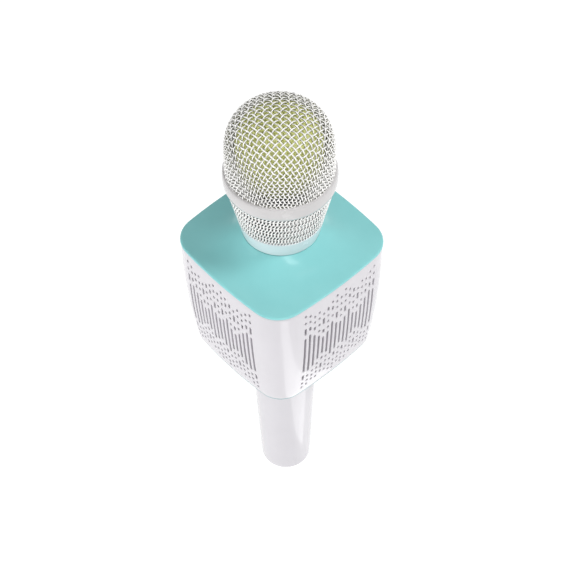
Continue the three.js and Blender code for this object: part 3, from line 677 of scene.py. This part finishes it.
def body_shell():
    """Four faces; on all of them the pattern sits towards -X or -Y."""
    parts = []
    for quarter, shift in enumerate((PATTERN_SHIFT, -PATTERN_SHIFT, -PATTERN_SHIFT, PATTERN_SHIFT)):
        c, s = round(math.cos(quarter * math.pi / 2)), round(math.sin(quarter * math.pi / 2))
        parts += moved(shell_face(shift), lambda x, y, z: (x * c - y * s, x * s + y * c, z))
    add_piece("slotted_shell", parts, WHITE, "chassis", ["body_shell"])


def dust_cloth():
    """Cloth sleeve stretched behind the slots."""
    gap = 0.45
    low, high = (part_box("dust_cloth")[i].z / MM for i in (0, 1))
    rings = [outline(shell_half(z) - SHELL_WALL - gap, z) for z in np.linspace(low, high, 30)]
    cloth = add_piece("grille_cloth", [strip(rings)], CLOTH, "chassis", ["dust_cloth"])


def top_plate():
    """Lid with a rounded rim that sweeps up to the neck, and a skirt inside the shell."""
    skirt_outer, skirt_inner, skirt_low, ceiling = 37.2, 35.6, RIM_Z - 5.4, RIM_Z - 2
    rim_low, curve = RIM_Z - 1.5, 0.9
    section = [(skirt_outer, skirt_low), (skirt_outer, rim_low), (RIM_HALF - 0.3, rim_low),
               (RIM_HALF - 0.07, rim_low + 0.08), (RIM_HALF, rim_low + 0.25)]
    for a in np.linspace(0, math.pi / 2, 7)[:-1]:
        section.append((RIM_HALF - curve + curve * math.cos(a), RIM_Z - curve + curve * math.sin(a)))
    rings = [outline(half, z) for half, z in section]
    rim, neck = outline(RIM_HALF - curve, RIM_Z), round_like_outline(NECK_RADIUS, NECK_Z)
    for t in np.linspace(0, 1, 30):
        ring = rim + (neck - rim) * t
        ring[:, 2] = RIM_Z + (NECK_Z - RIM_Z) * t ** 3
        rings.append(ring)
    rings += [round_like_outline(NECK_BORE, z) for z in (NECK_Z, ceiling)]
    rings += [outline(skirt_inner, z) for z in (ceiling, skirt_low)]
    add_piece("teal_top", [strip(rings, closed_round=True)], TEAL, "chassis", ["top_plate"])


def bottom_plate():
    """Plate with sunk screw holes, a spigot down into the handle and four posts for the amplifier board."""
    edge_half = shell_half(BASE_Z + BASE_EDGE) - 0.3
    plate_half, thickness = 33, 4
    spigot_r, spigot_bore, spigot_low = 15.3, 13.4, BASE_Z - 8.5
    screw_reach, sink_r, sink_depth, throat = 24.4, 3, 2, -1.4
    post_x, post_y, post_r, post_height = 18, 15, 2.5, 2
    quadrants = ((-1, -1), (1, -1), (-1, 1), (1, 1))
    bores = [circle_hole(x * screw_reach, y * screw_reach, sink_r) for x, y in quadrants]
    parts = []
    for depth, offset, middle in ((0, 0.2, spigot_r), (thickness, throat, spigot_bore)):
        loops = [ring[:, :2].tolist() for ring in (outline(plate_half, 0), round_like_outline(middle, 0))]
        parts.append(level_sheet(loops + [bore(offset) for bore in bores], BASE_Z + depth))
    steps = [(0.2, 0), (0, 0.2), (0, sink_depth), (throat, sink_depth), (throat, thickness)]
    for bore in bores:
        parts.append(strip([level(bore(offset), BASE_Z + depth) for offset, depth in steps]))
    rim = [(plate_half, 0), (edge_half - 0.25, 0), (edge_half - 0.07, 0.07), (edge_half, 0.25),
           (edge_half, BASE_EDGE - 0.15), (edge_half - 0.15, BASE_EDGE), (plate_half, BASE_EDGE),
           (plate_half, thickness)]
    parts.append(strip([outline(half, BASE_Z + rise) for half, rise in rim]))
    spigot = [(spigot_r, BASE_Z), (spigot_r, spigot_low + 0.4), (spigot_r - 0.4, spigot_low),
              (spigot_bore, spigot_low), (spigot_bore, BASE_Z + thickness)]
    parts.append(strip([round_like_outline(radius, z) for radius, z in spigot]))
    section = [(0, post_height), (post_r - 0.2, post_height), (post_r, post_height - 0.2), (post_r, 0)]
    post = lathe(section, 24, False)
    for x, y in quadrants:
        parts += shifted([post], x * post_x, y * post_y, BASE_Z + thickness)
    # The base plate's darker teal is painted shade in the seam under the shell.
    add_piece("teal_base", parts, TEAL_PAINTED_SHADE, "chassis", ["bottom_plate"])


def cross_recess(offset=0.0):
    """Outline of a screw's cross recess, moved outwards by an offset."""
    wide, slim = 1.55 + offset, 0.32 + offset
    quarter = [(wide, -slim), (wide, slim), (slim, slim)]
    points = []
    for _ in range(4):
        points += quarter
        quarter = [(-y, x) for x, y in quarter]
    return points


def chassis_screws():
    """Pan-head screws driven from below; rings stand for the thread."""
    head_z = BASE_Z + 0.4
    flat, head, crest, root = 2.2, 2.6, 1.25, 1.0
    recess, floor, floor_z = cross_recess(), cross_recess(-0.12), 0.8
    body = [(flat, 0), (head - 0.15, 0.08), (head, 0.35), (head, 1.3), (crest, 1.3)]
    for turn in range(12):
        z = 1.8 + turn * 0.9
        body += [(crest, z), (root, z + 0.25), (root, z + 0.65)]
    body += [(crest, 13), (0, 14)]
    screw = [
        level_sheet([circle_hole(0, 0, flat, 6)(), recess], 0),
        strip([level(recess, 0), level(floor, floor_z)]),
        level_sheet([floor], floor_z),
        lathe(body, 24, False),
    ]
    for i in range(4):
        low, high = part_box(f"chassis_screw_{i + 1}")
        parts = shifted(screw, (low.x + high.x) / 2 / MM, (low.y + high.y) / 2 / MM, head_z)
        add_piece(f"base_screw_{i + 1}", parts, STEEL, "chassis", [f"chassis_screw_{i + 1}"])


# ---------------------------------------------------------------- head

def dome_profile(radius, low, straight, cap):
    """Radius, height and length along the profile, from the crown down past the lower edge."""
    skirt = 6
    a = np.linspace(math.pi / 2, 0, 600)
    r = radius * np.clip(np.cos(a), 0, 1) ** (2 / DOME_POWER)
    z = low + straight + cap * np.sin(a) ** (2 / DOME_POWER)
    r, z = np.append(r, radius), np.append(z, low - skirt)
    return r, z, np.concatenate([[0], np.cumsum(np.hypot(np.diff(r), np.diff(z)))])


def woven_wire(turn, radius, height, out_r, out_z, sway, wire):
    """A wire along the given turns, radii and heights of a cloth, swaying to and fro across it.
    (out_r, out_z) points straight out of the cloth."""
    normals = np.stack([np.cos(turn) * out_r, np.sin(turn) * out_r, out_z], -1)
    normals /= np.hypot(out_r, out_z)[:, None]
    path = np.stack([np.cos(turn) * radius, np.sin(turn) * radius, height], -1)
    return tube(path + normals * sway[:, None], normals, wire / 2)


def dome_wires():
    """Plain-woven wire cloth over the dome: square in plan, stretched at the crown and crowded lower down."""
    inset = SWAY + WIRE / 2
    r, z, s = dome_profile(DOME_RADIUS - inset, BAND_HIGH, DOME_STRAIGHT, DOME_CAP - inset)
    out_r, out_z = -np.gradient(z, s), np.gradient(r, s)
    pitch, stretch, stretch_run = 2.5, 0.35, 5
    cells = s / pitch - stretch * (1 - np.exp(-s / stretch_run))
    low = BAND_HIGH - 0.2
    edge = np.interp(-low, -z, cells)
    reach = int(edge)
    first_turn = math.radians(3.4)
    steps_per_cell = 10
    parts = []
    for family in (0, 1):
        for row in range(-reach, reach + 1):
            end = math.sqrt(edge ** 2 - row ** 2)
            t = np.linspace(-end, end, int(end * steps_per_cell) + 2)
            u, v = (np.full_like(t, row), t) if family == 0 else (t, np.full_like(t, row))
            length = np.interp(np.hypot(u, v), cells, s)
            turn = np.arctan2(v, u) + first_turn
            radius, height, nr, nz = (np.interp(length, s, values) for values in (r, z, out_r, out_z))
            sway = SWAY * np.cos(math.pi * (row + t)) * (1 if family == 0 else -1)
            parts.append(woven_wire(turn, radius, height, nr, nz, sway, WIRE))
    add_piece("woven_dome", parts, ENAMEL_WITH_PAINTED_SHADE, "head", ["dome_mesh"], sharp=80)


def cone_wires():
    """Upright wires woven through slanting ones, one row up for each column round."""
    columns, row, steps_per_row = 88, 2.7, 6
    low, high = RING_TOP_Z - 0.2, BAND_LOW + 0.3
    rows = (high - low) / row
    slope = (BAND_R - 0.4 - RING_TOP_R) / (BAND_LOW - RING_TOP_Z)
    t = np.linspace(0, rows, int(rows * steps_per_row) + 1)
    height = low + t * row
    radius = RING_TOP_R - SWAY - CONE_WIRE / 2 + slope * (height - RING_TOP_Z)
    out_r, out_z = np.ones_like(t), np.full_like(t, -slope)
    parts = []
    for family in (0, 1):
        sway = SWAY * np.cos(math.pi * t) * (1 if family else -1)
        for column in range(columns):
            turn = (column + t * family) * 2 * math.pi / columns
            parts.append(woven_wire(turn, radius, height, out_r, out_z, sway, CONE_WIRE))
    add_piece("woven_cone", parts, ENAMEL_WITH_PAINTED_SHADE, "head", ["cone_mesh"], sharp=80)


def head_rings():
    """The bulging band between dome and cone, and the ring that holds the cone on the neck."""
    inner, foot, bulge, fullness = BAND_R - 2.4, BAND_R - 0.55, 1.15, 2.6
    middle, half = (BAND_LOW + BAND_HIGH) / 2, (BAND_HIGH - BAND_LOW) / 2
    section = [(inner, BAND_LOW), (BAND_R - 0.9, BAND_LOW)]
    for t in np.linspace(-1, 1, 25):
        section.append((foot + bulge * (1 - abs(t) ** fullness) ** 0.5, middle + t * half))
    section += [(BAND_R - 1.1, BAND_HIGH), (BAND_R - 1.5, BAND_HIGH - 0.4), (inner, BAND_HIGH - 0.4)]
    add_piece("pearl_band", [lathe(section, 144)], PEARL, "head", ["head_band"])
    low, bore = NECK_Z + 0.3, NECK_BORE + 0.1
    section = rounded_section([
        (bore, low, 0.2), (NECK_RADIUS - 0.1, low, 0.4), (RING_TOP_R, RING_TOP_Z - 0.4, 2.5),
        (RING_TOP_R, RING_TOP_Z, 0.3), (bore, RING_TOP_Z, 0.3),
    ])
    # The neck ring's cyan tint is painted bounce light from the teal plate.
    add_piece("pearl_neck", [lathe(section, 144)], PEARL_PAINTED_BOUNCE, "head", ["neck_ring"])


def foam_liner():
    """Open-cell foam cap inside the dome, a little uneven."""
    low, high = (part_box("foam_windscreen")[i].z / MM for i in (0, 1))
    foam_r, straight, bore, bore_top = 20.3, 10, 12.2, 251
    r, z, _ = dome_profile(foam_r, low + 1, straight, high - low - straight - 1.2)
    keep = z > low + 0.8
    outer = list(zip(r[keep][::12], z[keep][::12]))
    section = [(0, bore_top), (bore - 3, bore_top), (bore - 1, bore_top - 0.6), (bore, bore_top - 3),
               (bore, low), (foam_r - 1.5, low), (foam_r - 0.4, low + 0.4)]
    points, faces = lathe(section + outer[::-1], 120)
    waves = np.array([[3.1, 0.4, 1.2], [-0.7, 2.9, -1.4], [1.1, -0.8, 3.3]])
    unevenness = 0.007 * np.sin(points @ waves.T).prod(axis=1)
    points[:, :2] *= (1 + unevenness)[:, None]
    foam = add_piece("foam_cap", [(points, faces)], LIME, "head", ["foam_windscreen"], sharp=70)


# ---------------------------------------------------------------- handle and controls

def handle_radius(z):
    return HANDLE_R_END + (HANDLE_R_TOP - HANDLE_R_END) * z / HANDLE_TOP


SLOPE = math.atan((HANDLE_R_TOP - HANDLE_R_END) / HANDLE_TOP)
FLAT_Y = handle_radius(PANEL_Z) - FLAT_DEPTH


def on_panel(x, along, out):
    """A point in front of the control panel: across it, up along it and straight out of it."""
    return (
        x,
        -FLAT_Y - along * math.sin(SLOPE) - out * math.cos(SLOPE),
        PANEL_Z + along * math.cos(SLOPE) - out * math.sin(SLOPE),
    )


def panel_spot(x, along):
    """A function that places points from the given spot of the control panel."""
    return lambda u, v, out: on_panel(x + u, along + v, out)


def handle_point(u, z, depth):
    """A point of the handle's skin; u is the turn from -Y times the flat's distance from the axis.
    The flat for the panel runs out above and below it and meets the round skin softly."""
    margin, run_out, soft = 1.5, 1.6, 0.35
    turn = u / FLAT_Y
    radius = handle_radius(z)
    if math.cos(turn) > 0.5:
        beyond = max(0.0, abs(z - PANEL_Z) - PANEL_L / 2 - margin)
        flat = (FLAT_Y + (z - PANEL_Z) * math.tan(SLOPE) + beyond * run_out) / math.cos(turn)
        gap = max(-1.0, min(1.0, (radius - flat) / soft))
        radius = (radius + flat) / 2 - abs(radius - flat) / 2 - soft / 4 * (1 - abs(gap)) ** 2
    radius -= depth
    return radius * math.sin(turn), -radius * math.cos(turn), z


def handle_tube():
    """The handle's skin with the panel's opening, a lip at the top and a foot turned in for the end cap."""
    low, high, wall, curve = 3.0, HANDLE_TOP - 0.3, 1.8, 3
    half = math.pi * FLAT_Y
    # Finer steps round the panel and where its flat runs out.
    turns = np.concatenate([np.arange(-180, -48, 4), np.arange(-48, 48, 1.5), np.arange(48, 181, 4)])
    heights = np.concatenate([np.arange(low, 20, 3), np.arange(20, 27, 0.5), np.arange(27, 97, 2.5),
                              np.arange(97, 104, 0.5), np.linspace(104, high, 4)])
    columns = np.radians(turns) * FLAT_Y
    columns[0], columns[-1] = -half, half
    edge = skin_edge(columns, heights)
    gap = 0.3
    plain = rounded_rectangle(0, 0, PANEL_W + 2 * gap, PANEL_L + 2 * gap, PANEL_CORNER + gap, run=2.5)

    def opening(offset):
        points = []
        for x, along in plain(offset):
            _, y, z = on_panel(x, along, 0)
            points.append((math.atan2(x, -y) * FLAT_Y, z))
        return points

    margin = [(math.atan2(x, FLAT_Y) * FLAT_Y, PANEL_Z + along) for x, along in plain(0.9)]
    spots = [(u, z) for u in columns[1:-1] for z in heights[1:-1]]
    spots = [spot for spot, near in zip(spots, inside(margin, np.array(spots))) if not near]
    parts = punched(handle_point, lambda offset: edge, [opening], wall, chamfer=0.12, extra=spots, rim=False)
    lip = [(0, 0), (0.1, 0.2), (0.3, 0.3), (wall - 0.3, 0.3), (wall, 0)]
    cap_hole, step = HANDLE_R_END - 10.2, -0.6
    foot = [(curve - curve * math.cos(a), -curve * math.sin(a)) for a in np.radians(range(0, 85, 12))]
    foot += [(curve - 0.1, -curve), (cap_hole - 0.2, -curve), (cap_hole, 0.2 - curve), (cap_hole, step),
             (wall, step), (wall, 0)]
    parts += [skin_lip(handle_point, columns, high, lip), skin_lip(handle_point, columns, low, foot)]
    add_piece("white_handle", parts, WHITE, "chassis", ["handle_tube"])


def end_cap():
    """Flanged disc with the mouths of the charging socket and the line socket."""
    def flat(x, y, depth):
        return x, y, depth
    cap_r, cap_t, flange_r, flange_t = 9.9, 2.7, 11, 1.7
    holes = [rounded_rectangle(0, 4, 9, 3.6, 1.6, arc_steps=8), circle_hole(0, -4.5, 2.1, 12)]
    parts = punched(flat, circle_hole(0, 0, cap_r, 24), holes, cap_t, chamfer=0.2)
    flange = punched(flat, circle_hole(0, 0, flange_r, 24), holes, flange_t, chamfer=0.1)
    parts += shifted(flange, 0, 0, cap_t)
    add_piece("white_end_cap", parts, WHITE, "chassis", ["end_cap"])


def control_panel():
    """The panel with its holes, and printed scales between the sliders."""
    gap, slot_width, slot_length, slot_end = 0.25, 1.8, 2 * SLIDER_REACH + 3.4, 0.85
    holes = [circle_hole(x, along, radius + gap, 10) for x, along, radius in BUTTONS.values()]
    for x in SLIDERS.values():
        holes.append(rounded_rectangle(x, SLIDER_ALONG, slot_width, slot_length, slot_end))
    edge = rounded_rectangle(0, 0, PANEL_W, PANEL_L, PANEL_CORNER, run=3.0, arc_steps=8)
    parts = punched(lambda u, v, depth: on_panel(u, v, -depth), edge, holes, PANEL_T, chamfer=0.18)
    add_piece("teal_panel", parts, TEAL, "chassis", ["control_panel"])
    marks = []
    half_line, print_height = 0.11, 0.04
    for x in (-2.1, 2.1):
        for i in range(-4, 5):
            half_length, y = (0.4 if i % 4 else 0.65), SLIDER_ALONG + i * SLIDER_REACH / 4
            mark = bar(x - half_length, y - half_line, x + half_length, y + half_line)
            marks.append(raised(mark, 0, print_height))
    add_piece("slider_scale", moved(marks, on_panel), INK, "chassis")


def key_signs(name):
    """Generic signs for a key of radius 1: a play triangle, track arrows, three lines for mode and a
    broken ring for power."""
    if name == "play":
        return [[(-0.35, -0.5), (0.5, 0), (-0.35, 0.5)]]
    if name in ("previous", "next"):
        way = 1 if name == "next" else -1
        arrows = [[(way * x, -0.34), (way * (x + 0.45), 0), (way * x, 0.34)][::way] for x in (-0.45, 0.05)]
        left, right = sorted((way * 0.5, way * 0.6))
        return arrows + [bar(left, -0.34, right, 0.34)]
    if name == "mode":
        return [bar(-0.45, y - 0.06, 0.45, y + 0.06) for y in (-0.3, 0, 0.3)]
    return [arc(0.5, 125, 415) + arc(0.38, 415, 125), bar(-0.06, 0.15, 0.06, 0.6)]


def buttons():
    flange, print_height = -PANEL_T - 0.3, 0.09
    for name, (x, along, radius) in BUTTONS.items():
        section = [(0, flange - 0.7), (radius + 0.6, flange - 0.7), (radius + 0.6, flange), (radius, flange),
                   (radius, 0.55), (radius - 0.06, 0.75), (radius - 0.22, 0.92), (radius - 0.5, 1.0),
                   (radius * 0.6, 1.03), (0, 1.05)]
        place = panel_spot(x, along)
        cap = moved([lathe(section, 64, False)], place)
        add_piece(f"{name}_cap", cap, KEY, f"{name}_key", [f"{name}_button"])
        shapes = [[(u * radius, v * radius) for u, v in shape] for shape in key_signs(name)]
        signs = [raised(shape, 1.0, 1.0 + print_height) for shape in shapes]
        add_piece(f"{name}_sign", moved(signs, place), INK, f"{name}_key")


def slider_knobs():
    """Grips with five ridges across them and a stem through the panel."""
    shape = rounded_rectangle(0, 0, 3.5, 4.6, 0.9, run=1.2, arc_steps=6)
    rows = [(-0.15, 0.3), (0, 0.45), (0, 1.1), (-0.12, 1.35), (-0.35, 1.45)]
    parts = [strip([level(shape(offset), out) for offset, out in rows])]
    parts += [level_sheet([shape(offset)], out) for offset, out in (rows[0], rows[-1])]
    ridge = [(-0.26, 1.3), (-0.2, 1.62), (-0.1, 1.78), (0.1, 1.78), (0.2, 1.62), (0.26, 1.3)]
    ridge_half, ridge_pitch = 1.25, 0.72
    for i in range(-2, 3):
        ends = [[(u, i * ridge_pitch + v, out) for v, out in ridge] for u in (-ridge_half, ridge_half)]
        points, faces = strip(ends)
        parts.append((points, faces + [tuple(range(6)), tuple(range(6, 12))]))
    stem, stem_low = bar(-0.6, -1.2, 0.6, 1.2), -2.3
    parts.append(strip([level(stem, stem_low), level(stem, 0.4)]))
    parts.append((level(stem, stem_low), [(0, 1, 2, 3)]))
    for name, x in SLIDERS.items():
        grip = moved(parts, panel_spot(x, SLIDER_ALONG))
        add_piece(f"{name}_grip", grip, KEY, f"{name}_slider", [f"{name}_knob"])


# ---------------------------------------------------------------- the CAD nodes that stay in view

def dress_nodes():
    """Finishes on the inner parts that keep their CAD shape, with softened edges."""
    finishes = {
        "speaker_box": BLACK, "driver_basket": STEEL, "driver_magnet": IRON, "surround": RUBBER,
        "driver_cone": PAPER, "radiator_weight": STEEL, "amplifier_board": BOARD, "control_board": BOARD,
        "neck_collar": STEEL, "capsule_holder": BLACK, "capsule_cushion": RUBBER, "mic_capsule": STEEL,
        "capsule_lead": RUBBER, "charging_socket": SOCKET, "line_socket": BLACK, "switch": BLACK,
        "track": STEEL, "battery_cell": WRAP, "battery_cradle": BLACK, "contact": STEEL,
    }
    for name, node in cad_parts.items():
        if node.hide_render:
            continue
        finish = next((look for part, look in finishes.items() if part in name), BLACK)
        node.data.materials.clear()
        node.data.materials.append(finish)
        bevel = node.modifiers.new("soft_edges", "BEVEL")
        bevel.width = 0.12 * MM
        bevel.segments = 2
        bevel.limit_method = "ANGLE"
        bevel.angle_limit = math.radians(50)


add_camera()
add_studio()
body_shell()
dust_cloth()
top_plate()
bottom_plate()
chassis_screws()
dome_wires()
cone_wires()
head_rings()
foam_liner()
handle_tube()
end_cap()
control_panel()
buttons()
slider_knobs()
dress_nodes()
